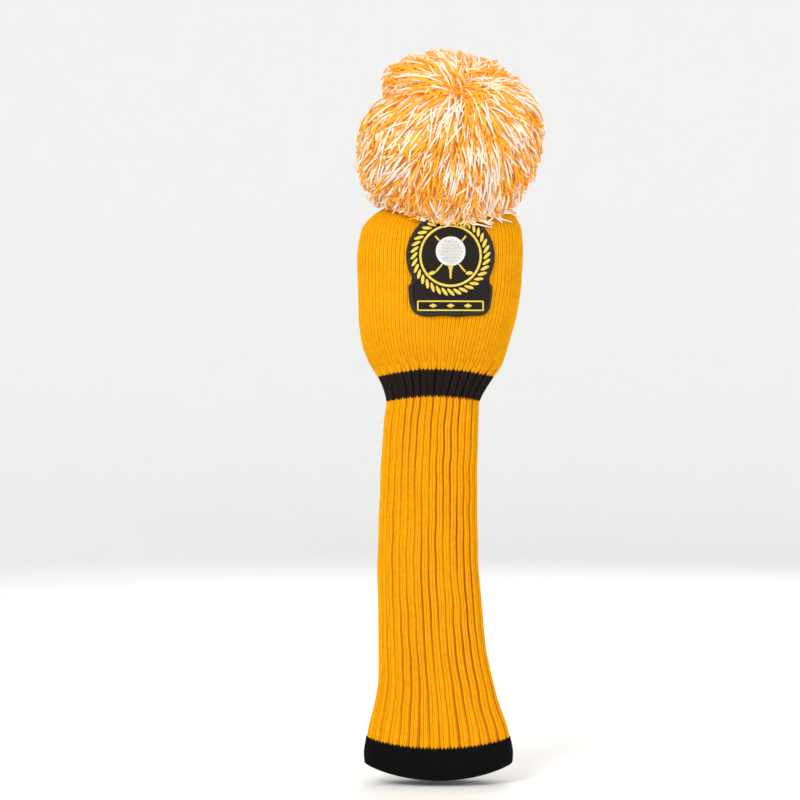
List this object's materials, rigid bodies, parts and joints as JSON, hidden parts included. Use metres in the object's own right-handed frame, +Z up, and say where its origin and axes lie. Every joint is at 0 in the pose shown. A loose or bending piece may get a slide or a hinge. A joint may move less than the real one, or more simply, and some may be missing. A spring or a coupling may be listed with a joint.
{
  "type": "golf driver head cover",
  "caption": "Long knitted sock-style cover for a golf driver head: plump head pocket, ribbed sleeve with turned hem, neck band, sewn patch and a yarn pompom.",
  "frame": {"origin": "middle of the sleeve's mouth, level with the lowest part of the hem", "axes": "+Z up the line of the club's shaft, from the mouth to the pompom; -Y out of the front, where the patch is; +X to the right seen from the front"},
  "size_m": [0.131, 0.131, 0.509],
  "materials": {
    "orange_knit": "matte",
    "black_knit": "matte",
    "lining_fleece": "matte",
    "elastic_cord": "matte",
    "white_yarn": "matte",
    "pompom_yarn": "matte",
    "black_twill": "matte",
    "black_thread": "satin",
    "gold_thread": "satin",
    "white_thread": "satin"
  },
  "bodies": {
    "head": {"head_knit": "orange_knit", "head_lining": "lining_fleece", "lining_seam": "white_thread", "neck_band": "black_knit", "neck_elastic": "elastic_cord", "gather_yarn": "orange_knit", "patch_backing": "black_thread", "patch_twill": "black_twill", "patch_thread": "black_thread", "patch_ring": "gold_thread", "patch_rope": "gold_thread", "patch_ball": "white_thread", "patch_tee": "gold_thread", "patch_clubs": "gold_thread", "patch_bar": "gold_thread", "patch_diamonds": "gold_thread"},
    "sleeve": {"sleeve_rib": "orange_knit", "hem_cuff": "black_knit", "hem_seam": "black_thread"},
    "tie_knot": {"pom_tie_knot": "white_yarn"},
    "pompom": {"pom_tie": "white_yarn", "pom_binding": "white_yarn", "pom_yarn": "pompom_yarn"}
  },
  "joints": [
    {"name": "sleeve_bend", "type": "hinge", "parent": "head", "child": "sleeve", "pos_m": [-0.0035, 0, 0.272], "axis": [1, 0, 0], "range_deg": [-45, 45], "deforming": ["neck_band"]},
    {"name": "pom_nod", "type": "hinge", "parent": "head", "child": "tie_knot", "pos_m": [0.005, 0, 0.4054], "axis": [1, 0, 0], "range_deg": [-12, 12], "stiffness_Nm_per_rad": 0.6},
    {"name": "pom_sway", "type": "hinge", "parent": "tie_knot", "child": "pompom", "pos_m": [0.005, 0, 0.4054], "axis": [0, 1, 0], "range_deg": [-12, 12], "stiffness_Nm_per_rad": 0.6}
  ]
}
